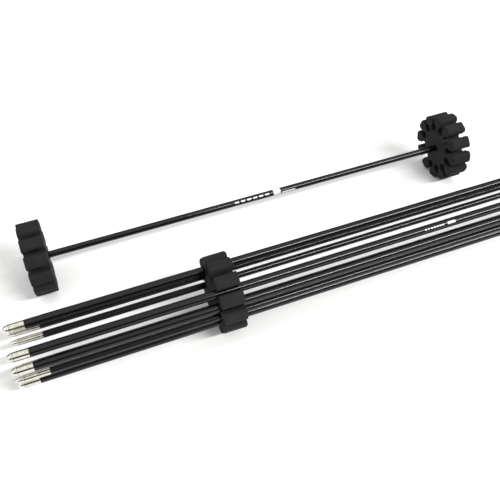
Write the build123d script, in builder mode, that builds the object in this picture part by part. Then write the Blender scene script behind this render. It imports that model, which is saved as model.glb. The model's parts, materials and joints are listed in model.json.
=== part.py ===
"""A foam-wheel arrow rack set: one rack loaded with arrows, and one empty rack lying behind it.

Each rack is a carbon rod with a notched foam wheel pressed on each end. Arrow shafts lie in the
wheels' notches, parallel to the rod. Every length is in millimetres and every angle in degrees.
Both racks lie along X, with the arrows' points towards -X, on a surface at Z = 0. The origin is at
the middle of the bottom of the whole set's bounding box.
"""
from build123d import *
from math import asin, cos, degrees, radians, sin
import os

# ---- Foam wheels ----
WHEEL_RADIUS = 40.5
WHEEL_THICKNESS = 24.0
NOTCH_COUNT = 12
NOTCH_PITCH = 360 / NOTCH_COUNT
NOTCH_RADIUS = 4.75  # radius of a notch's round bottom
MOUTH_WIDTH = 4.6  # about half a wide shaft's diameter: the foam lips bend to let a shaft in
SEAT_RADIUS = 26.4  # from the wheel's axis to the centre of a notch's round bottom
FIN_ROUND = 4.0  # rounding of a fin's two outer corners
WHEEL_SPACING = 507.0  # centre to centre along the rod

# ---- Rods ----
ROD_RADIUS = 3.75
ROD_WALL = 0.65
RUNNING_GAP = 0.05  # radial gap where a wheel moves on its rod

# ---- Where the racks lie, before everything is centred on the origin ----
LOADED_TURN = 11.5  # angle of the first notch above +Y, seen from +X towards -X
SPARE_FRONT_TURN = 9.0
SPARE_REAR_TURN = 8.0
SPARE_BEHIND = 126.0  # from the loaded rack's axis to the spare rack's, along +Y
SPARE_AHEAD = 167.5  # how far the spare rack's front wheel is ahead of the loaded one's, along -X

# ---- Arrows: the wide and the slim kind ----
WIDE = dict(
    shaft_radius=4.65,
    bore_radius=4.0,
    collar_length=14.8,
    nose_length=6.0,
    nose_radius=4.25,
    ring_radius=4.6,
    vane_height=6.0,
    vane_turn=20.0,
)
SLIM = dict(
    shaft_radius=3.45,
    bore_radius=2.6,
    collar_length=23.9,
    nose_length=8.6,
    nose_radius=3.05,
    ring_radius=3.4,
    vane_height=4.5,
    vane_turn=30.0,
)
SHAFT_LENGTH = 800.0
SEAT_GAP = NOTCH_RADIUS - WIDE["shaft_radius"]  # a shaft's clearance to the bottom of its notch

# Point
TIP_RADIUS = 0.5
RING_WIDTH = 1.0
STUD_RADIUS = 1.6
STUD_LENGTH = 9.0
STUD_FLAT = 0.3  # chamfer on the stud's end

# Ferrule
STEM_LENGTH = 20.0
SOCKET_DEPTH = 10.0
COLLAR_CHAMFER = 0.45

# Nock
NOCK_LENGTH = 12.0
NOCK_STEM = 9.0
NOCK_END_RATIO = 0.8  # radius at the string end as a share of the shaft's radius
STRING_WIDTH = 2.6
STRING_CUT_RATIO = 3  # length of the groove's cutter in shaft radii, which passes both sides of the nock
STRING_DEPTH = 7.0

# Vanes
VANE_LENGTH = 50.0
VANE_THICKNESS = 0.6
VANE_FROM_END = 8.0
VANE_COUNT = 3
VANE_PEAK = 0.7  # where a vane is highest, as a share of its length
VANE_REAR_RATIO = 0.33  # height at the back corner as a share of the full height
VANE_RISE = (1, 0.3)  # direction in which a vane's edge leaves the shaft
VANE_ROOT_RATIO = 0.5  # how far from the axis a vane's outline starts, before it is cut back to the shaft

# ---- Which arrow lies in which notch ----
# name: (kind, angle of its notch from the first one)
ARROWS = {
    "arrow_1": (WIDE, 30),
    "arrow_2": (SLIM, 0),
    "arrow_3": (SLIM, 330),
    "arrow_4": (WIDE, 300),
    "arrow_5": (WIDE, 270),
    "arrow_6": (WIDE, 120),
    "arrow_7": (WIDE, 150),
    "arrow_8": (SLIM, 180),
    "arrow_9": (WIDE, 210),
}
TIPS_AHEAD = 212.0  # from the loaded front wheel's centre to the tips, along -X

# ---- Sizes worked out from those above ----
ROD_LENGTH = WHEEL_SPACING + WHEEL_THICKNESS
FIN_ARC_RADIUS = WHEEL_RADIUS - FIN_ROUND
FIN_ARC_ANGLE = degrees(asin((MOUTH_WIDTH / 2 + FIN_ROUND) / FIN_ARC_RADIUS))


def wheel_reach(direction, turn):
    """How far a notched wheel reaches from its axis in a direction, given its first notch's angle."""
    from_notch = (direction - turn) % NOTCH_PITCH
    from_notch = min(from_notch, NOTCH_PITCH - from_notch)
    if from_notch >= FIN_ARC_ANGLE:
        return WHEEL_RADIUS
    return FIN_ARC_RADIUS * cos(radians(FIN_ARC_ANGLE - from_notch)) + FIN_ROUND


def arrow_length(kind):
    """Overall length of an arrow, from its tip to the end of its nock."""
    return kind["nose_length"] + RING_WIDTH + kind["collar_length"] + SHAFT_LENGTH + NOCK_LENGTH


FRONT_END = -TIPS_AHEAD
BACK_END = FRONT_END + max(arrow_length(kind) for kind, angle in ARROWS.values())
NEAR_SIDE = -wheel_reach(180, LOADED_TURN)
FAR_SIDE = SPARE_BEHIND + max(wheel_reach(0, SPARE_FRONT_TURN), wheel_reach(0, SPARE_REAR_TURN))

LOADED_X = -(FRONT_END + BACK_END) / 2
LOADED_Y = -(NEAR_SIDE + FAR_SIDE) / 2
LOADED_Z = wheel_reach(270, LOADED_TURN)
SPARE_X = LOADED_X - SPARE_AHEAD
SPARE_Y = LOADED_Y + SPARE_BEHIND
SPARE_Z = max(wheel_reach(270, SPARE_FRONT_TURN), wheel_reach(270, SPARE_REAR_TURN))


def across(x, y, z, turn=0.0):
    """Plane across the racks: its normal is +X, its own x axis is at an angle above +Y."""
    return Plane(origin=(x, y, z), x_dir=(0, cos(radians(turn)), sin(radians(turn))), z_dir=(1, 0, 0))


def lengthwise(x, y, z, angle=90.0):
    """Plane along an axis parallel to X: its own x axis is +X, its own y axis at an angle above +Y."""
    return Plane(origin=(x, y, z), x_dir=(1, 0, 0), z_dir=(0, -sin(radians(angle)), cos(radians(angle))))


def export(name, part):
    """Write one sub-part under its own name."""
    part.label = name
    export_step(part, f"parts/{name}.step")


def notched_wheel(x, y, z, turn, bore_radius):
    """A foam disc with a bore for the rod, and notches with a round seat and a narrower mouth."""
    notch_length = WHEEL_RADIUS - SEAT_RADIUS + NOTCH_RADIUS
    with BuildPart() as wheel:
        with BuildSketch(across(x - WHEEL_THICKNESS / 2, y, z, turn)) as face:
            Circle(WHEEL_RADIUS)
            with PolarLocations(SEAT_RADIUS, NOTCH_COUNT):
                Circle(NOTCH_RADIUS, mode=Mode.SUBTRACT)
                Rectangle(
                    notch_length,
                    MOUTH_WIDTH,
                    align=(Align.MIN, Align.CENTER),
                    mode=Mode.SUBTRACT,
                )
            fin_corners = face.vertices().group_by(SortBy.DISTANCE)[-1]
            fillet(fin_corners, FIN_ROUND)
            Circle(bore_radius, mode=Mode.SUBTRACT)
        extrude(amount=WHEEL_THICKNESS)
    return wheel.part


def rod_tube(x, y, z):
    """The rack's carbon rod, flush with the outer faces of both wheels."""
    with BuildPart() as rod:
        with BuildSketch(across(x - WHEEL_THICKNESS / 2, y, z)):
            Circle(ROD_RADIUS)
            Circle(ROD_RADIUS - ROD_WALL, mode=Mode.SUBTRACT)
        extrude(amount=ROD_LENGTH)
    return rod.part


def turned(x, y, z, *outline):
    """A solid of revolution about an axis along X, from (distance along, radius) corners."""
    with BuildPart() as piece:
        with BuildSketch(lengthwise(x, y, z)):
            with BuildLine():
                Polyline(*outline, close=True)
            make_face()
        revolve(axis=Axis((x, y, z), (1, 0, 0)))
    return piece.part


def arrow_point(kind, x, y, z):
    """A steel point: a rounded nose, a ring at its base, and the stud that screws into the ferrule."""
    nose = kind["nose_length"]
    seat = nose + RING_WIDTH
    nose_radius = kind["nose_radius"]
    ring_radius = kind["ring_radius"]
    with BuildPart() as point:
        with BuildSketch(lengthwise(x, y, z)):
            with BuildLine():
                Line((0, 0), (0, TIP_RADIUS))
                TangentArc((nose, nose_radius), (0, TIP_RADIUS), tangent=(-1, 0))
                Polyline(
                    (nose, nose_radius),
                    (nose, ring_radius),
                    (seat, ring_radius),
                    (seat, STUD_RADIUS),
                    (seat + STUD_LENGTH - STUD_FLAT, STUD_RADIUS),
                    (seat + STUD_LENGTH, STUD_RADIUS - STUD_FLAT),
                    (seat + STUD_LENGTH, 0),
                    (0, 0),
                )
            make_face()
        revolve(axis=Axis((x, y, z), (1, 0, 0)))
    return point.part


def arrow_ferrule(kind, x, y, z):
    """A metal collar as wide as the shaft, with a stem inside the shaft and a socket for the stud."""
    collar = kind["collar_length"]
    radius = kind["shaft_radius"]
    stem_radius = kind["bore_radius"]
    return turned(
        x,
        y,
        z,
        (0, STUD_RADIUS),
        (0, radius - COLLAR_CHAMFER),
        (COLLAR_CHAMFER, radius),
        (collar - COLLAR_CHAMFER, radius),
        (collar, radius - COLLAR_CHAMFER),
        (collar, stem_radius),
        (collar + STEM_LENGTH, stem_radius),
        (collar + STEM_LENGTH, 0),
        (SOCKET_DEPTH, 0),
        (SOCKET_DEPTH, STUD_RADIUS),
    )


def arrow_shaft(kind, x, y, z):
    """A carbon tube."""
    with BuildPart() as shaft:
        with BuildSketch(across(x, y, z)):
            Circle(kind["shaft_radius"])
            Circle(kind["bore_radius"], mode=Mode.SUBTRACT)
        extrude(amount=SHAFT_LENGTH)
    return shaft.part


def arrow_nock(kind, x, y, z, outward):
    """A plastic nock: a stem inside the shaft and a tapered head, with a groove for the string."""
    head_end = kind["shaft_radius"] * NOCK_END_RATIO
    with BuildPart() as nock:
        with BuildSketch(lengthwise(x, y, z)):
            with BuildLine():
                Polyline(
                    (-NOCK_STEM, 0),
                    (-NOCK_STEM, kind["bore_radius"]),
                    (0, kind["bore_radius"]),
                    (0, kind["shaft_radius"]),
                    (NOCK_LENGTH - STRING_DEPTH, kind["shaft_radius"]),
                    (NOCK_LENGTH, head_end),
                    (NOCK_LENGTH, 0),
                    close=True,
                )
            make_face()
        revolve(axis=Axis((x, y, z), (1, 0, 0)))
        with BuildSketch(across(x + NOCK_LENGTH - STRING_DEPTH + STRING_WIDTH / 2, y, z, outward)):
            Rectangle(STRING_CUT_RATIO * kind["shaft_radius"], STRING_WIDTH)
        extrude(amount=STRING_DEPTH, mode=Mode.SUBTRACT)
    return nock.part


def arrow_vanes(kind, x, y, z, outward):
    """Thin vanes round the shaft, turned so that they clear the neighbouring arrows' vanes."""
    radius = kind["shaft_radius"]
    height = kind["vane_height"]
    root = (0, radius)
    peak = (VANE_PEAK * VANE_LENGTH, radius + height)
    rear = (VANE_LENGTH, radius + VANE_REAR_RATIO * height)
    inner = VANE_ROOT_RATIO * radius
    first = outward + kind["vane_turn"] + 180 / VANE_COUNT
    with BuildPart() as vanes:
        for step in range(VANE_COUNT):
            with BuildSketch(lengthwise(x, y, z, first + step * 360 / VANE_COUNT)):
                with BuildLine():
                    Spline(root, peak, tangents=(VANE_RISE, (1, 0)))
                    Polyline(peak, rear, (VANE_LENGTH, inner), (0, inner), root)
                make_face()
            extrude(amount=VANE_THICKNESS / 2, both=True)
        with BuildSketch(across(x, y, z)):
            Circle(radius)
        extrude(amount=VANE_LENGTH, mode=Mode.SUBTRACT)
    return vanes.part


def export_arrow(name, kind, angle):
    """Make and write an arrow's five sub-parts, lying in the loaded rack's notch at an angle."""
    outward = LOADED_TURN + angle
    seat = SEAT_RADIUS - NOTCH_RADIUS + SEAT_GAP + kind["shaft_radius"]
    y = LOADED_Y + seat * cos(radians(outward))
    z = LOADED_Z + seat * sin(radians(outward))
    tip = LOADED_X - TIPS_AHEAD
    collar = tip + kind["nose_length"] + RING_WIDTH
    shaft = collar + kind["collar_length"]
    nock = shaft + SHAFT_LENGTH
    vane = nock - VANE_FROM_END - VANE_LENGTH
    export(f"{name}_point", arrow_point(kind, tip, y, z))
    export(f"{name}_ferrule", arrow_ferrule(kind, collar, y, z))
    export(f"{name}_shaft", arrow_shaft(kind, shaft, y, z))
    export(f"{name}_nock", arrow_nock(kind, nock, y, z, outward))
    export(f"{name}_vanes", arrow_vanes(kind, vane, y, z, outward))


os.makedirs("parts", exist_ok=True)

# Loaded rack: the front wheel is fast on the rod, the rear wheel slides along it.
export("loaded_rod", rod_tube(LOADED_X, LOADED_Y, LOADED_Z))
export("loaded_front_wheel", notched_wheel(LOADED_X, LOADED_Y, LOADED_Z, LOADED_TURN, ROD_RADIUS))
export(
    "loaded_rear_wheel",
    notched_wheel(
        LOADED_X + WHEEL_SPACING, LOADED_Y, LOADED_Z, LOADED_TURN, ROD_RADIUS + RUNNING_GAP
    ),
)

# Spare rack: both wheels move on the rod.
export("spare_rod", rod_tube(SPARE_X, SPARE_Y, SPARE_Z))
export(
    "spare_front_wheel",
    notched_wheel(SPARE_X, SPARE_Y, SPARE_Z, SPARE_FRONT_TURN, ROD_RADIUS + RUNNING_GAP),
)
export(
    "spare_rear_wheel",
    notched_wheel(
        SPARE_X + WHEEL_SPACING, SPARE_Y, SPARE_Z, SPARE_REAR_TURN, ROD_RADIUS + RUNNING_GAP
    ),
)

for arrow_name, (arrow_kind, notch_angle) in ARROWS.items():
    export_arrow(arrow_name, arrow_kind, notch_angle)

print(f"Loaded rack's front wheel centre: {LOADED_X:.2f}, {LOADED_Y:.2f}, {LOADED_Z:.2f}")
print(f"Spare rack's front wheel centre: {SPARE_X:.2f}, {SPARE_Y:.2f}, {SPARE_Z:.2f}")
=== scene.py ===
import json
from functools import cache
from math import asin, atan2, ceil, cos, hypot, pi, radians, sin, sqrt

import bmesh
import bpy
import numpy as np
from mathutils import Matrix, Vector, noise
from mathutils.geometry import delaunay_2d_cdt

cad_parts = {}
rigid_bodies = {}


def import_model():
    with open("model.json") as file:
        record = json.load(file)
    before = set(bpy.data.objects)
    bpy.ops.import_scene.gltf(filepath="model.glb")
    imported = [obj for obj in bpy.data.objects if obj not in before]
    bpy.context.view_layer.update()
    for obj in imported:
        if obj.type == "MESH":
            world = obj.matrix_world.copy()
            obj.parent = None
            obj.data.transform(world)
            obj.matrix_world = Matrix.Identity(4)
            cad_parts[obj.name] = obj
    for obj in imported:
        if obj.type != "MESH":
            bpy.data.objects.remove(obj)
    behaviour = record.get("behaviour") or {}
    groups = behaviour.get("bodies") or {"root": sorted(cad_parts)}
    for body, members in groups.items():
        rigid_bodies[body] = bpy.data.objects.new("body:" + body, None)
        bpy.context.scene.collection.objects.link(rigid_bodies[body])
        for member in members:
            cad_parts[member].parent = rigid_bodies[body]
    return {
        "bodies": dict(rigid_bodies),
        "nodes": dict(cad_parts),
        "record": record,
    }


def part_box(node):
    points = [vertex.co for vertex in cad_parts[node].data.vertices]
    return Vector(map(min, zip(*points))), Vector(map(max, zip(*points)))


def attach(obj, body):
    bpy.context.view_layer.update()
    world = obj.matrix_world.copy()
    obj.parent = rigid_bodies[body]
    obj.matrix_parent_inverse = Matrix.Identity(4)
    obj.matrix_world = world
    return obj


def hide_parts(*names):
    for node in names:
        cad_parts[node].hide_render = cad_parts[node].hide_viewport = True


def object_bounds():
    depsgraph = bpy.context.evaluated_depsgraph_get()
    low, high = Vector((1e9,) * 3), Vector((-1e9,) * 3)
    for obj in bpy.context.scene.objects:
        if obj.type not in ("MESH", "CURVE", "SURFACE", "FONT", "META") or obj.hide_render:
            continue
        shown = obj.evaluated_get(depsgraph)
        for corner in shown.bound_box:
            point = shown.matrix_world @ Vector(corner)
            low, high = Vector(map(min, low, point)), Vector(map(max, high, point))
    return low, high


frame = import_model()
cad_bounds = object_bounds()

MM = 0.001
ARROW_NAMES = sorted(body for body in frame["bodies"] if body.startswith("arrow_"))

# ---- Camera, measured from the point on the floor under the loaded rack's front wheel ----
CAMERA_OFFSET = Vector((-0.1239, -0.4377, 0.5365))
CAMERA_YAW = 0.340
CAMERA_PITCH = 0.768
CAMERA_ROLL = -0.047
CAMERA_LENS = 47.9

# ---- Foam wheels ----
MOUTH_WIDTH = 4.6 * MM
FIN_ROUND = 4.0 * MM
FOAM_EDGE = 0.7 * MM  # rounding of the foam's cut edges
BORE_EDGE = 0.4 * MM
EDGE_STEPS = 3
OUTLINE_STEP = 0.95 * MM
WALL_STEP = 1.5 * MM
CAP_STEP = 1.5 * MM
FOAM_WAVE = 0.30 * MM  # how far the foam's surface wanders
FOAM_WAVE_SIZE = 14 * MM
FOAM_GRAIN = 0.10 * MM
FOAM_GRAIN_SIZE = 2.2 * MM

# ---- Points and ferrules ----
TURNED_SEGMENTS = 96
NOSE_STEPS = 24
TIP_RADIUS = 0.5 * MM
RING_WIDTH = 1.0 * MM
RING_EDGE = 0.15 * MM  # rounding of the ring's and the collar's edges
RING_NECK = 0.3 * MM  # how far the nose's base stands in from the ring
STUD_RADIUS = 1.6 * MM
STUD_LENGTH = 9 * MM
COLLAR_EDGE = 0.45 * MM
STEM_LENGTH = 20 * MM
SOCKET_DEPTH = 10 * MM

# ---- Nocks ----
NOCK_LENGTH = 12 * MM  # outside the shaft
NOCK_COLLAR = 5.0 * MM  # plain part before the string groove
GROOVE_DEPTH = 7 * MM
FLARE_DEPTH = 2.6 * MM  # how far the groove's mouth flares
NOCK_END_RATIO = 0.8
NOCK_SEGMENTS = 48
GROOVE_RADIUS = 1.35 * MM
THROAT_WIDTH = 2.1 * MM
GROOVE_MOUTH_WIDTH = 3.1 * MM
NOCK_BEVEL = 0.22 * MM

# ---- Vanes ----
VANE_COUNT = 3
VANE_STEPS = 40
VANE_ROWS = 6
VANE_ROOT_THICKNESS = 0.60 * MM
VANE_EDGE_THICKNESS = 0.28 * MM
VANE_FOOT_THICKNESS = 1.7 * MM
VANE_FOOT_HEIGHT = 0.5 * MM
VANE_PEAK = 0.7
VANE_REAR_RATIO = 0.33
VANE_TURN = {"wide": radians(20), "slim": radians(30)}
VANE_HEIGHT = {"wide": 6.0 * MM, "slim": 4.5 * MM}
WIDE_SHAFT_OVER = 4.0 * MM  # a shaft of more than this radius is of the wide kind

# ---- Light ----
CEILING_FROM = radians(36)  # height above the horizon where the bright ceiling begins
CEILING_FULL = radians(44)

# ---- Printed marks ----
PRINT_LIFT = 0.05 * MM
PRINT_FACING = radians(134)  # which way the marks face, above +Y
ROD_PRINT_START = 59 * MM  # from the loaded rack's front wheel, along +X
SHAFT_PRINT_START = 218 * MM


# ---------------------------------------------------------------- small helpers
@cache
def centre_of(node):
    """Middle of a CAD node's box."""
    low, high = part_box(node)
    return (low + high) / 2


def mesh_object(name, vertices, faces, smooth=True):
    """A new object in the scene, from lists of vertices and faces."""
    mesh = bpy.data.meshes.new(name)
    mesh.from_pydata([tuple(v) for v in vertices], [], faces)
    mesh.validate()
    mesh.update()
    piece = bpy.data.objects.new(name, mesh)
    bpy.context.scene.collection.objects.link(piece)
    if smooth:
        mesh.shade_smooth()
    return piece


def point_normals_out(piece):
    """Make a closed mesh's faces agree and face outwards."""
    shape = bmesh.new()
    shape.from_mesh(piece.data)
    bmesh.ops.remove_doubles(shape, verts=shape.verts, dist=1e-7)
    bmesh.ops.recalc_face_normals(shape, faces=shape.faces)
    shape.to_mesh(piece.data)
    shape.free()


def apply_modifiers(piece):
    """Replace a piece's mesh with what its modifiers make of it."""
    depsgraph = bpy.context.evaluated_depsgraph_get()
    finished = bpy.data.meshes.new_from_object(piece.evaluated_get(depsgraph))
    piece.modifiers.clear()
    piece.data = finished


# ---------------------------------------------------------------- materials
def material(name, colour, roughness, **settings):
    """A Principled material with constant values on its own sockets."""
    made = bpy.data.materials.new(name)
    made.use_nodes = True
    shader = made.node_tree.nodes["Principled BSDF"]
    shader.inputs["Base Color"].default_value = (*colour, 1)
    shader.inputs["Roughness"].default_value = roughness
    for socket, value in settings.items():
        shader.inputs[socket.replace("_", " ")].default_value = value
    return made


def nodes_of(made):
    """A material's node tree and its shader."""
    tree = made.node_tree
    return tree, tree.nodes["Principled BSDF"]


def add(tree, kind, **values):
    """A node with its properties and input values set by name."""
    node = tree.nodes.new(kind)
    for key, value in values.items():
        if key in node.inputs:
            node.inputs[key].default_value = value
        else:
            setattr(node, key, value)
    return node


def stretched_coordinates(tree, scale):
    """Object coordinates, scaled apart along X, Y and Z."""
    where = add(tree, "ShaderNodeTexCoord")
    mapping = add(tree, "ShaderNodeMapping", Scale=scale)
    tree.links.new(where.outputs["Object"], mapping.inputs["Vector"])
    return mapping.outputs["Vector"]


def noise_of(tree, scale, detail=3.0, rough=0.5):
    """A noise texture's value, with its own size along X, Y and Z."""
    texture = add(tree, "ShaderNodeTexNoise", Scale=1.0, Detail=detail, Roughness=rough)
    tree.links.new(stretched_coordinates(tree, scale), texture.inputs["Vector"])
    return texture.outputs["Fac"]


def ramp(tree, value, stops):
    """A colour ramp over a value, from (position, colour) stops."""
    node = add(tree, "ShaderNodeValToRGB")
    tree.links.new(value, node.inputs["Fac"])
    elements = node.color_ramp.elements
    while len(elements) < len(stops):
        elements.new(0.5)
    for element, (position, colour) in zip(elements, stops):
        element.position = position
        element.color = (*colour, 1)
    return node.outputs["Color"]


def between(tree, value, low, high):
    """A value carried from 0..1 to low..high."""
    node = add(tree, "ShaderNodeMapRange")
    tree.links.new(value, node.inputs["Value"])
    node.inputs["To Min"].default_value = low
    node.inputs["To Max"].default_value = high
    return node.outputs["Result"]


def bumped(tree, height, distance, strength=1.0, normal=None):
    """A bump's normal, from a height."""
    node = add(tree, "ShaderNodeBump", Strength=strength, Distance=distance)
    tree.links.new(height, node.inputs["Height"])
    if normal is not None:
        tree.links.new(normal, node.inputs["Normal"])
    return node.outputs["Normal"]


def foam_material():
    """Charcoal closed-cell foam: fine cells, faint cut lines and uneven tone."""
    made = material("foam_cells", (0.015, 0.017, 0.016), 0.9, Specular_IOR_Level=0.35)
    tree, shader = nodes_of(made)
    tone = noise_of(tree, (70, 70, 70), detail=4)
    colour = ramp(tree, tone, [(0.3, (0.0055, 0.0063, 0.0057)), (0.7, (0.0115, 0.013, 0.0115))])
    tree.links.new(colour, shader.inputs["Base Color"])
    cells = add(tree, "ShaderNodeTexVoronoi", Scale=1500.0, Randomness=1.0)
    tree.links.new(stretched_coordinates(tree, (1, 1, 1)), cells.inputs["Vector"])
    cut_lines = noise_of(tree, (90, 900, 900), detail=2)
    lines = bumped(tree, cut_lines, 0.12 * MM, 0.5)
    tree.links.new(bumped(tree, cells.outputs["Distance"], 0.18 * MM, 0.6, lines), shader.inputs["Normal"])
    tree.links.new(between(tree, tone, 0.82, 0.97), shader.inputs["Roughness"])
    return made


def carbon_material(name, dark, light):
    """Glossy black tube: faint lengthwise fibres in a satin resin."""
    made = material(name, dark, 0.22, Specular_IOR_Level=0.35)
    tree, shader = nodes_of(made)
    fibres = noise_of(tree, (25, 2600, 2600), detail=4)
    tree.links.new(ramp(tree, fibres, [(0.35, dark), (0.7, light)]), shader.inputs["Base Color"])
    haze = noise_of(tree, (30, 160, 160), detail=3)
    tree.links.new(between(tree, haze, 0.15, 0.19), shader.inputs["Roughness"])
    tree.links.new(bumped(tree, fibres, 0.002 * MM, 0.1), shader.inputs["Normal"])
    return made


def metal_material(name, colour, roughness):
    """Nickel-plated turned metal: fine rings from the lathe and a few dull patches."""
    made = material(name, colour, roughness, Metallic=1.0)
    tree, shader = nodes_of(made)
    rings = noise_of(tree, (1800, 20, 20), detail=1)
    patches = noise_of(tree, (220, 220, 220), detail=4)
    dull = tuple(0.82 * channel for channel in colour)
    tree.links.new(ramp(tree, patches, [(0.35, dull), (0.6, colour)]), shader.inputs["Base Color"])
    tree.links.new(between(tree, patches, 0.7 * roughness, 1.4 * roughness), shader.inputs["Roughness"])
    tree.links.new(bumped(tree, rings, 0.001 * MM, 0.06), shader.inputs["Normal"])
    return made


def plastic_material(name, dark, light, roughness, grain):
    """Moulded plastic with a fine grain."""
    made = material(name, dark, roughness)
    tree, shader = nodes_of(made)
    tone = noise_of(tree, (300, 300, 300), detail=4)
    tree.links.new(ramp(tree, tone, [(0.3, dark), (0.7, light)]), shader.inputs["Base Color"])
    tree.links.new(between(tree, tone, 0.85 * roughness, 1.15 * roughness), shader.inputs["Roughness"])
    fine = noise_of(tree, (4500, 4500, 4500), detail=2)
    tree.links.new(bumped(tree, fine, grain, 0.5), shader.inputs["Normal"])
    return made


def print_material():
    """White ink, thin in places."""
    made = material("print_ink", (0.78, 0.80, 0.80), 0.5)
    tree, shader = nodes_of(made)
    thin = noise_of(tree, (900, 900, 900), detail=3)
    stops = [(0.25, (0.42, 0.45, 0.46)), (0.55, (0.80, 0.82, 0.82))]
    tree.links.new(ramp(tree, thin, stops), shader.inputs["Base Color"])
    return made


def floor_material():
    """Pale, slightly mottled studio floor."""
    made = material("studio_floor", (0.92, 0.92, 0.91), 0.8, Specular_IOR_Level=0.1)
    tree, shader = nodes_of(made)
    mottle = noise_of(tree, (9, 9, 9), detail=3)
    stops = [(0.3, (0.91, 0.91, 0.90)), (0.7, (0.93, 0.93, 0.92))]
    tree.links.new(ramp(tree, mottle, stops), shader.inputs["Base Color"])
    return made


FOAM = foam_material()
SHAFT = carbon_material("carbon_shaft", (0.0015, 0.0017, 0.002), (0.0036, 0.004, 0.0048))
ROD = carbon_material("carbon_rod", (0.0014, 0.0015, 0.0018), (0.0034, 0.0037, 0.0043))
FERRULE = metal_material("nickel_ferrule", (0.70, 0.68, 0.60), 0.12)
POINT = metal_material("steel_point", (0.74, 0.73, 0.68), 0.16)
NOCK = plastic_material("nock_moulded", (0.012, 0.012, 0.014), (0.02, 0.02, 0.023), 0.35, 0.02 * MM)
VANE = plastic_material("vane_plastic_sheet", (0.02, 0.02, 0.023), (0.032, 0.032, 0.036), 0.55, 0.03 * MM)
INK = print_material()


# ---------------------------------------------------------------- foam wheels
def arc(centre, radius, start, end):
    """Points on an arc about (along, across), without its last one."""
    steps = max(2, ceil(abs(end - start) * radius / OUTLINE_STEP))
    angles = [start + (end - start) * k / steps for k in range(steps)]
    return [(centre[0] + radius * cos(a), centre[1] + radius * sin(a)) for a in angles]


def line(start, end):
    """Points on a straight line, without its last one."""
    steps = max(1, ceil(hypot(end[0] - start[0], end[1] - start[1]) / OUTLINE_STEP))
    return [
        (start[0] + (end[0] - start[0]) * k / steps, start[1] + (end[1] - start[1]) * k / steps)
        for k in range(steps)
    ]


def pitch_outline(wheel):
    """One notch and the half fins beside it, as (outwards, across) points about the notch's middle."""
    half = MOUTH_WIDTH / 2
    corner_out = sqrt((wheel["radius"] - FIN_ROUND) ** 2 - (half + FIN_ROUND) ** 2)
    corner_angle = asin((half + FIN_ROUND) / (wheel["radius"] - FIN_ROUND))
    lip_out = wheel["seat"] + sqrt(wheel["notch_radius"] ** 2 - half**2)
    lip_angle = asin(half / wheel["notch_radius"])
    rim = (0, 0)
    return (
        arc(rim, wheel["radius"], -wheel["pitch"] / 2, -corner_angle)
        + arc((corner_out, -half - FIN_ROUND), FIN_ROUND, -corner_angle, pi / 2)
        + line((corner_out, -half), (lip_out, -half))
        + arc((wheel["seat"], 0), wheel["notch_radius"], -lip_angle, lip_angle - 2 * pi)
        + line((lip_out, half), (corner_out, half))
        + arc((corner_out, half + FIN_ROUND), FIN_ROUND, -pi / 2, corner_angle)
        + arc(rim, wheel["radius"], corner_angle, wheel["pitch"] / 2)
    )


def turned_by(points, angle):
    """Points turned about the origin."""
    return [(x * cos(angle) - y * sin(angle), x * sin(angle) + y * cos(angle)) for x, y in points]


def inset(ring, distance):
    """A closed ring of points moved to its left by a distance."""
    points = np.array(ring)
    ahead = np.roll(points, -1, axis=0) - np.roll(points, 1, axis=0)
    ahead /= np.linalg.norm(ahead, axis=1)[:, None]
    left = np.stack([-ahead[:, 1], ahead[:, 0]], axis=1)
    return points + distance * left


def inside(ring, points):
    """Which points lie inside a closed ring."""
    x, y = points[:, 0], points[:, 1]
    found = np.zeros(len(points), bool)
    for (x0, y0), (x1, y1) in zip(ring, np.roll(ring, -1, axis=0)):
        crosses = (y0 > y) != (y1 > y)
        if y0 != y1:
            found ^= crosses & (x < (x1 - x0) * (y - y0) / (y1 - y0) + x0)
    return found


def cap(rim, bore):
    """Triangles between two rings, with evenly spaced points between them."""
    reach = np.abs(rim).max()
    rows = np.arange(-reach, reach, CAP_STEP * sqrt(3) / 2)
    grid = [
        (x + (k % 2) * CAP_STEP / 2, y)
        for k, y in enumerate(rows)
        for x in np.arange(-reach, reach, CAP_STEP)
    ]
    grid = np.array(grid)
    grid = grid[inside(rim, grid)]
    edge = np.concatenate([rim, bore])
    apart = grid[:, None, :] - edge[None, :, :]
    clear = np.hypot(apart[..., 0], apart[..., 1]).min(axis=1) > 0.6 * CAP_STEP
    grid = grid[clear & (np.hypot(*grid.T) > np.hypot(*bore[0]))]
    count, holes = len(rim), len(bore)
    edges = [(k, (k + 1) % count) for k in range(count)]
    edges += [(count + k, count + (k + 1) % holes) for k in range(holes)]
    points = [Vector(p) for p in np.concatenate([edge, grid])]
    found = delaunay_2d_cdt(points, edges, [], 0, 1e-9)
    flat = np.array([tuple(p) for p in found[0]])
    middles = np.array([flat[list(face)].mean(axis=0) for face in found[2]])
    keep = inside(rim, middles) & ~inside(bore, middles)
    return flat, [face for face, kept in zip(found[2], keep) if kept]


def edge_rows(edge, half):
    """(inset, along) of the rows of points from one flat face, over both rounded edges, to the other."""
    quarter = [pi / 2 * k / EDGE_STEPS for k in range(EDGE_STEPS + 1)]
    near = [(edge * (1 - sin(a)), edge * (1 - cos(a)) - half) for a in quarter]
    steps = ceil((2 * half - 2 * edge) / WALL_STEP)
    wall = [(0, -half + edge + (2 * half - 2 * edge) * k / steps) for k in range(1, steps)]
    return near + wall + [(away, -along) for away, along in reversed(near)]


def ring_walls(ring, edge, half, vertices, faces):
    """Add a ring's wall, with rounded edges, to a mesh. Insets go to the ring's left."""
    start = len(vertices)
    rows = edge_rows(edge, half)
    for away, along in rows:
        vertices += [(along, y, z) for y, z in inset(ring, away)]
    count = len(ring)
    for row in range(len(rows) - 1):
        for k in range(count):
            a = start + row * count + k
            b = start + row * count + (k + 1) % count
            faces.append((a, b, b + count, a + count))


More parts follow.
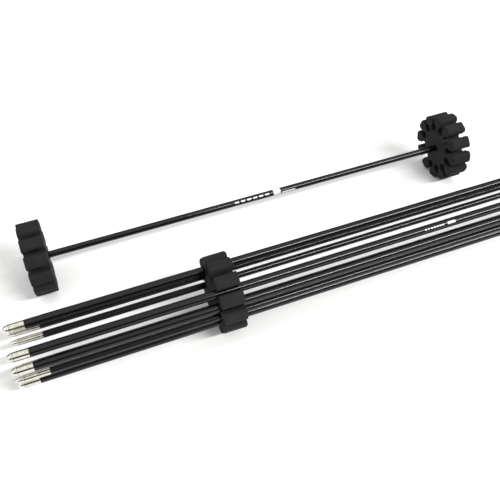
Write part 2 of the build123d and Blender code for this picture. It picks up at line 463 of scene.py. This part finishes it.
def roughened(vertices, normals, centre, wheel):
    """Foam's surface wanders and has a grain, always a little inside its cut shape."""
    moved = []
    seed = Vector((0.37, 1.91, 0.0)) * wheel["seed"]
    for vertex, normal in zip(vertices, normals):
        wave = 0.5 + 0.5 * noise.noise(vertex / FOAM_WAVE_SIZE + seed)
        grain = 0.5 + 0.5 * noise.noise(vertex / FOAM_GRAIN_SIZE + seed)
        moved.append(vertex - normal * (FOAM_WAVE * wave + FOAM_GRAIN * grain) + centre)
    return moved


def foam_wheel(name, wheel, centre):
    """A notched foam wheel with rounded cut edges and an uneven surface."""
    count = round(2 * pi / wheel["pitch"])
    one = pitch_outline(wheel)
    rim = np.array([p for k in range(count) for p in turned_by(one, k * wheel["pitch"])])
    bore = np.array(arc((0, 0), wheel["bore"], 0, -2 * pi))
    half = wheel["thickness"] / 2
    flat, triangles = cap(inset(rim, FOAM_EDGE), inset(bore, BORE_EDGE))
    flat = turned_by(flat, wheel["turn"])
    vertices, faces = [], []
    ring_walls(turned_by(rim, wheel["turn"]), FOAM_EDGE, half, vertices, faces)
    ring_walls(turned_by(bore, wheel["turn"]), BORE_EDGE, half, vertices, faces)
    for along in (-half, half):
        start = len(vertices)
        vertices += [(along, y, z) for y, z in flat]
        faces += [tuple(start + k for k in triangle) for triangle in triangles]
    piece = mesh_object(name, vertices, faces)
    point_normals_out(piece)
    points = [v.co.copy() for v in piece.data.vertices]
    normals = [v.normal.copy() for v in piece.data.vertices]
    for vertex, moved in zip(piece.data.vertices, roughened(points, normals, centre, wheel)):
        vertex.co = moved
    piece.data.update()
    return piece


def wheel_facts(node, rod, mount_start, seed):
    """A wheel's sizes and turn, from its node, its rod and one of its notches' mounts."""
    axis = centre_of(rod)
    low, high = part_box(node)
    notch = next(m for m in frame["record"]["mounts"] if m["name"].startswith(mount_start))
    out = Vector(notch["pos_m"]) - axis
    reach = max(
        hypot(v.co.y - axis.y, v.co.z - axis.z) for v in frame["nodes"][node].data.vertices
    )
    near = min(
        hypot(v.co.y - axis.y, v.co.z - axis.z) for v in frame["nodes"][node].data.vertices
    )
    wheel = {
        "radius": reach,
        "bore": near,
        "seat": hypot(out.y, out.z),
        "notch_radius": notch["dims"]["r_mm"] * MM,
        "turn": atan2(out.z, out.y),
        "pitch": radians(30),
        "thickness": high.x - low.x,
        "seed": seed,
    }
    return wheel, Vector(((low.x + high.x) / 2, axis.y, axis.z))


WHEELS = {
    "loaded_front_wheel": ("loaded_rod", "loaded_front_notch", "loaded_rack"),
    "loaded_rear_wheel": ("loaded_rod", "loaded_rear_notch", "loaded_rear_wheel"),
    "spare_front_wheel": ("spare_rod", "spare_front_notch", "spare_front_wheel"),
    "spare_rear_wheel": ("spare_rod", "spare_rear_notch", "spare_rear_wheel"),
}
for seed, (node, (rod, mount_start, body)) in enumerate(WHEELS.items(), start=1):
    facts, centre = wheel_facts(node, rod, mount_start, seed)
    piece = foam_wheel(f"{node}_foam", facts, centre)
    piece.data.materials.append(FOAM)
    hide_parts(node)
    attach(piece, body)


# ---------------------------------------------------------------- arrows
def outward_angle(name):
    """Which way an arrow lies from the loaded rack's rod, above +Y."""
    away = centre_of(f"{name}_shaft") - centre_of("loaded_rod")
    return atan2(away.z, away.y)


def along_arrow(name, x, out, across, angle=None):
    """A point beside an arrow's axis: x in the frame, and out and across as the angle turns them."""
    turn = outward_angle(name) if angle is None else angle
    axis = centre_of(f"{name}_shaft")
    return Vector(
        (
            x,
            axis.y + out * cos(turn) - across * sin(turn),
            axis.z + out * sin(turn) + across * cos(turn),
        )
    )


def lathe(profile, segments, place):
    """Vertices and faces of a closed solid of revolution.

    The profile is (along, radius) points that start and end on the axis.
    """
    vertices, faces = [place(profile[0][0], 0, 0)], []
    for x, radius in profile[1:-1]:
        for k in range(segments):
            angle = 2 * pi * k / segments
            vertices.append(place(x, radius * cos(angle), radius * sin(angle)))
    vertices.append(place(profile[-1][0], 0, 0))
    rings = len(profile) - 2
    for ring in range(rings - 1):
        for k in range(segments):
            a = 1 + ring * segments + k
            b = 1 + ring * segments + (k + 1) % segments
            faces.append((a, b, b + segments, a + segments))
    last = len(vertices) - 1
    for k in range(segments):
        follow = (k + 1) % segments
        faces.append((0, 1 + follow, 1 + k))
        faces.append((last, last - segments + k, last - segments + follow))
    return vertices, faces


def turned_piece(name, label, profile):
    """A piece turned on a lathe about an arrow's axis, from (x, radius) points."""
    place = lambda x, out, across: along_arrow(name, x, out, across)
    vertices, faces = lathe(profile, TURNED_SEGMENTS, place)
    piece = mesh_object(f"{name}_{label}", vertices, faces)
    point_normals_out(piece)
    piece.data.shade_smooth()
    piece.data.set_sharp_from_angle(angle=radians(32))
    return piece


def point(name):
    """A steel point: a rounded nose, a raised ring with soft edges at its base, and a stud."""
    low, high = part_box(f"{name}_point")
    ring = (high.z - low.z) / 2
    base = ring - RING_NECK
    seat = high.x - STUD_LENGTH
    nose = seat - RING_WIDTH
    length, rise = nose - low.x, base - TIP_RADIUS
    bend = (length**2 + rise**2) / (2 * rise)
    profile = [(low.x, 0), (low.x, 0.6 * TIP_RADIUS)]
    for k in range(NOSE_STEPS + 1):
        back = length * (1 - max(k / NOSE_STEPS, 0.01))
        profile.append((nose - back, base - bend + sqrt(bend**2 - back**2)))
    profile += [(nose, ring - RING_EDGE), (nose + RING_EDGE, ring), (seat - RING_EDGE, ring)]
    profile += [(seat, ring - RING_EDGE), (seat, STUD_RADIUS), (high.x, STUD_RADIUS), (high.x, 0)]
    return turned_piece(name, "point_turned", profile)


def ferrule(name):
    """A metal collar with softened edges, a stem inside the shaft and a socket for the stud."""
    low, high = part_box(f"{name}_ferrule")
    radius = (high.z - low.z) / 2
    collar = high.x - STEM_LENGTH
    stem = bore_of(name)
    profile = [(low.x + SOCKET_DEPTH, 0), (low.x + SOCKET_DEPTH, STUD_RADIUS), (low.x, STUD_RADIUS)]
    profile += [(low.x, radius - COLLAR_EDGE), (low.x + COLLAR_EDGE, radius)]
    profile += [(collar - COLLAR_EDGE, radius), (collar, radius - COLLAR_EDGE), (collar, stem)]
    profile += [(high.x, stem), (high.x, 0)]
    return turned_piece(name, "ferrule_turned", profile)


def bore_of(name):
    """The radius of an arrow shaft's bore."""
    axis = centre_of(f"{name}_shaft")
    shaft = frame["nodes"][f"{name}_shaft"]
    return min(hypot(v.co.y - axis.y, v.co.z - axis.z) for v in shaft.data.vertices)


def nock_body(name, low, high, radius, stem_radius):
    """A nock's body: its stem inside the shaft and a head that tapers to a rounded end."""
    stem, collar = low, high - NOCK_LENGTH
    end_radius = NOCK_END_RATIO * radius
    profile = [(stem, 0), (stem, stem_radius), (collar, stem_radius), (collar, radius)]
    profile += [(collar + NOCK_COLLAR, radius)]
    taper = 6
    head = high - (collar + NOCK_COLLAR)
    for k in range(1, taper):
        share = k / taper
        profile.append((collar + NOCK_COLLAR + head * share, radius + (end_radius - radius) * share**1.5))
    profile += [(high - 0.4 * MM, end_radius), (high, end_radius - 0.5 * MM), (high, 0)]
    place = lambda x, out, across: along_arrow(name, x, out, across)
    vertices, faces = lathe(profile, NOCK_SEGMENTS, place)
    return mesh_object(f"{name}_nock_body", vertices, faces)


def string_groove(name, high, radius):
    """A cutter for the string's groove: a round bottom, a narrow throat and a flared mouth."""
    bottom = high - GROOVE_DEPTH + GROOVE_RADIUS
    throat = asin(THROAT_WIDTH / 2 / GROOVE_RADIUS)
    outline = arc((bottom, 0), GROOVE_RADIUS, throat, 2 * pi - throat)
    outline += [
        (bottom + GROOVE_RADIUS * cos(throat), -THROAT_WIDTH / 2),
        (high - FLARE_DEPTH, -THROAT_WIDTH / 2),
        (high + 1 * MM, -GROOVE_MOUTH_WIDTH / 2),
        (high + 1 * MM, GROOVE_MOUTH_WIDTH / 2),
        (high - FLARE_DEPTH, THROAT_WIDTH / 2),
    ]
    reach = 1.6 * radius
    vertices = [along_arrow(name, x, side * reach, y) for side in (-1, 1) for x, y in outline]
    count = len(outline)
    faces = [tuple(range(count)), tuple(range(2 * count - 1, count - 1, -1))]
    faces += [(k, k + count, (k + 1) % count + count, (k + 1) % count) for k in range(count)]
    cutter = mesh_object(f"{name}_groove_cutter", vertices, faces)
    point_normals_out(cutter)
    return cutter


def nock(name):
    """A moulded nock with a string groove and softened edges."""
    low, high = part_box(f"{name}_nock")
    radius = (high.y - low.y) / 2
    piece = nock_body(name, low.x, high.x, radius, bore_of(name))
    point_normals_out(piece)
    cutter = string_groove(name, high.x, radius)
    cut = piece.modifiers.new("groove", "BOOLEAN")
    cut.object = cutter
    cut.operation = "DIFFERENCE"
    cut.solver = "EXACT"
    soften = piece.modifiers.new("soften", "BEVEL")
    soften.width = NOCK_BEVEL
    soften.segments = 2
    soften.limit_method = "ANGLE"
    soften.angle_limit = radians(35)
    apply_modifiers(piece)
    bpy.data.objects.remove(cutter)
    piece.name = f"{name}_nock_moulded"
    piece.data.shade_smooth()
    piece.data.set_sharp_from_angle(angle=radians(40))
    return piece


def vane_height(share, full):
    """A vane's height along its length: a soft rise to its peak, then a straight cut down."""
    if share < VANE_PEAK:
        return full * sin(pi / 2 * share / VANE_PEAK) ** 1.15
    drop = (share - VANE_PEAK) / (1 - VANE_PEAK)
    return full * (1 - (1 - VANE_REAR_RATIO) * drop)


def vane_blade(name, low_x, high_x, radius, full, angle, vertices, faces):
    """Add one vane to a mesh: a blade that thins outwards, on a wider foot."""
    start = len(vertices)
    rows = 2 * (VANE_ROWS + 2)
    for step in range(VANE_STEPS + 1):
        share = step / VANE_STEPS
        x = low_x + (high_x - low_x) * share
        height = max(vane_height(share, full), 0.12 * MM)
        foot = min(VANE_FOOT_HEIGHT, 0.6 * height)
        taper = min(1.0, 6 * share, 12 * (1 - share) + 0.25)
        side = [(-0.15 * MM, VANE_FOOT_THICKNESS * taper), (0.12 * MM, VANE_FOOT_THICKNESS * taper)]
        for k in range(VANE_ROWS):
            up = k / (VANE_ROWS - 1)
            thick = VANE_ROOT_THICKNESS + (VANE_EDGE_THICKNESS - VANE_ROOT_THICKNESS) * up
            side.append((foot + (height - foot) * up, thick))
        for out, thick in side:
            vertices.append(along_arrow(name, x, radius + out, thick / 2, angle))
        for out, thick in reversed(side):
            vertices.append(along_arrow(name, x, radius + out, -thick / 2, angle))
    for step in range(VANE_STEPS):
        for k in range(rows):
            a = start + step * rows + k
            b = start + step * rows + (k + 1) % rows
            faces.append((a, b, b + rows, a + rows))
    faces.append(tuple(start + k for k in range(rows)))
    faces.append(tuple(start + VANE_STEPS * rows + k for k in reversed(range(rows))))


def vanes(name):
    """An arrow's three vanes."""
    low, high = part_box(f"{name}_vanes")
    shaft_low, shaft_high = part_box(f"{name}_shaft")
    radius = (shaft_high.y - shaft_low.y) / 2
    kind = "wide" if radius > WIDE_SHAFT_OVER else "slim"
    vertices, faces = [], []
    for k in range(VANE_COUNT):
        angle = outward_angle(name) + VANE_TURN[kind] + (2 * k + 1) * pi / VANE_COUNT
        vane_blade(name, low.x, high.x, radius, VANE_HEIGHT[kind], angle, vertices, faces)
    piece = mesh_object(f"{name}_vanes_bonded", vertices, faces)
    point_normals_out(piece)
    piece.data.shade_smooth()
    piece.data.set_sharp_from_angle(angle=radians(35))
    return piece


for name in ARROW_NAMES:
    for piece, node, slot, look in (
        (point(name), f"{name}_point", "point_metal", POINT),
        (ferrule(name), f"{name}_ferrule", "ferrule_metal", FERRULE),
        (nock(name), f"{name}_nock", "nock_plastic", NOCK),
        (vanes(name), f"{name}_vanes", "vane_plastic", VANE),
    ):
        piece.data.materials.clear()
        piece.data.materials.append(look)
        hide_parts(node)
        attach(piece, name)

# ---------------------------------------------------------------- carried-over CAD nodes
CAD_LOOKS = {"rod": ROD, "shaft": SHAFT}
for node, piece in frame["nodes"].items():
    look = CAD_LOOKS.get(node.rsplit("_", 1)[1])
    if look is not None:
        piece.data.materials[0] = look


# ---------------------------------------------------------------- printed marks
def printed_patch(axis, radius, low_x, high_x, middle, spread, vertices, faces):
    """Add one patch of ink on a tube to a mesh: a thin closed shell that follows its surface."""
    start = len(vertices)
    columns = max(2, ceil((high_x - low_x) / (0.5 * MM)))
    rows = max(2, ceil(spread * radius / (0.4 * MM)))
    for lift in (-PRINT_LIFT, PRINT_LIFT):
        for i in range(columns + 1):
            for j in range(rows + 1):
                angle = middle + spread * (j / rows - 0.5)
                reach = radius + lift
                x = low_x + (high_x - low_x) * i / columns
                vertices.append((x, axis.y + reach * cos(angle), axis.z + reach * sin(angle)))
    stride = rows + 1
    layer = (columns + 1) * stride
    for i in range(columns):
        for j in range(rows):
            a = start + i * stride + j
            faces.append((a, a + 1, a + stride + 1, a + stride))
            a += layer
            faces.append((a, a + stride, a + stride + 1, a + 1))
    rim = [i * stride for i in range(columns)]
    rim += [columns * stride + j for j in range(rows)]
    rim += [i * stride + rows for i in range(columns, 0, -1)]
    rim += [j for j in range(rows, 0, -1)]
    for a, b in zip(rim, rim[1:] + rim[:1]):
        faces.append((start + a, start + b, start + b + layer, start + a + layer))


def printed_marks(name, node, body, start_x, marks):
    """Plain marks on a tube, from (distance along, length, spread in degrees, off centre in degrees)."""
    low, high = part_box(node)
    radius = (high.z - low.z) / 2
    vertices, faces = [], []
    for along, length, spread, off in marks:
        x = start_x + along * MM
        middle = PRINT_FACING + radians(off)
        printed_patch(centre_of(node), radius, x, x + length * MM, middle, radians(spread), vertices, faces)
    piece = mesh_object(name, vertices, faces)
    point_normals_out(piece)
    piece.data.materials.append(INK)
    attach(piece, body)


front_wheel = centre_of("loaded_front_wheel")
DASHES = [(7.5 * k, 5.0, 30, 4) for k in range(6)]
BLOCK_AND_STRIPE = [(48, 9.0, 120, 0), (58.5, 17.0, 26, 44)]
printed_marks(
    "spare_rod_print",
    "spare_rod",
    "spare_rack",
    front_wheel.x + ROD_PRINT_START,
    DASHES + BLOCK_AND_STRIPE,
)
SHORT_DASHES = [(0, 2.2, 20, 0), (3.6, 1.6, 20, 0)] + [(7 + 3.4 * k, 2.5, 18, 0) for k in range(5)]
LAST_MARK = [(27.5, 9.5, 34, -2)]
printed_marks(
    "arrow_6_print",
    "arrow_6_shaft",
    "arrow_6",
    front_wheel.x + SHAFT_PRINT_START,
    SHORT_DASHES + LAST_MARK,
)


# ---------------------------------------------------------------- stage, light and camera
def studio_floor():
    """A wide round floor under both racks."""
    shape = bmesh.new()
    bmesh.ops.create_circle(shape, cap_ends=True, radius=14.0, segments=96)
    mesh = bpy.data.meshes.new("studio_floor")
    shape.to_mesh(mesh)
    shape.free()
    floor = bpy.data.objects.new("studio_floor", mesh)
    bpy.context.scene.collection.objects.link(floor)
    floor.location.z = cad_bounds[0].z
    mesh.materials.append(floor_material())


def softbox(name, location, target, size, watts):
    """A rectangular soft light that the camera doesn't see."""
    light = bpy.data.lights.new(name, "AREA")
    light.shape = "RECTANGLE"
    light.size, light.size_y = size
    light.energy = watts
    lamp = bpy.data.objects.new(name, light)
    bpy.context.scene.collection.objects.link(lamp)
    lamp.location = location
    lamp.rotation_euler = (Vector(target) - Vector(location)).to_track_quat("-Z", "Y").to_euler()
    lamp.visible_camera = False


def studio_world(high, low, seen):
    """A soft bright ceiling over dim walls for the object, and a white background for the camera."""
    world = bpy.data.worlds.new("studio")
    bpy.context.scene.world = world
    world.use_nodes = True
    tree = world.node_tree
    background = tree.nodes["Background"]
    where = add(tree, "ShaderNodeTexCoord")
    split = add(tree, "ShaderNodeSeparateXYZ")
    tree.links.new(where.outputs["Generated"], split.inputs["Vector"])
    stops = [(sin(CEILING_FROM), (low,) * 3), (sin(CEILING_FULL), (high,) * 3)]
    tree.links.new(ramp(tree, split.outputs["Z"], stops), background.inputs["Color"])
    white = add(tree, "ShaderNodeBackground", Color=(seen, seen, seen, 1))
    rays = add(tree, "ShaderNodeLightPath")
    mix = add(tree, "ShaderNodeMixShader")
    tree.links.new(rays.outputs["Is Camera Ray"], mix.inputs["Fac"])
    tree.links.new(background.outputs["Background"], mix.inputs[1])
    tree.links.new(white.outputs["Background"], mix.inputs[2])
    tree.links.new(mix.outputs["Shader"], tree.nodes["World Output"].inputs["Surface"])


def photo_camera():
    """A camera that looks down along its yaw and pitch, then rolls about its own view."""
    camera = bpy.data.cameras.new("camera")
    camera.lens = CAMERA_LENS
    camera.clip_start = 0.01
    camera.clip_end = 100
    viewer = bpy.data.objects.new("camera", camera)
    bpy.context.scene.collection.objects.link(viewer)
    flat = cos(CAMERA_PITCH)
    ahead = Vector((sin(CAMERA_YAW) * flat, cos(CAMERA_YAW) * flat, -sin(CAMERA_PITCH)))
    level = Vector((cos(CAMERA_YAW), -sin(CAMERA_YAW), 0))
    upright = level.cross(ahead)
    right = level * cos(CAMERA_ROLL) + upright * sin(CAMERA_ROLL)
    up = upright * cos(CAMERA_ROLL) - level * sin(CAMERA_ROLL)
    turn = Matrix((right, up, -ahead)).transposed()
    under_wheel = Vector((front_wheel.x, centre_of("loaded_rod").y, cad_bounds[0].z))
    viewer.matrix_world = Matrix.Translation(under_wheel + CAMERA_OFFSET) @ turn.to_4x4()
    bpy.context.scene.camera = viewer


studio_floor()
studio_world(high=1.2, low=0.07, seen=1.0)
wheel_spot = Vector((front_wheel.x, front_wheel.y, 0.05))
strip_spot = wheel_spot + Vector((2.05, -1.96, 2.24))
softbox("strip", strip_spot, (strip_spot.x, wheel_spot.y, wheel_spot.z), (2.8, 0.25), 150)
left_spot = wheel_spot + Vector((-1.7, -0.1, 0.7))
softbox("left_fill", left_spot, wheel_spot, (2.4, 1.4), 12)
photo_camera()
bpy.context.scene.view_settings.view_transform = "Standard"
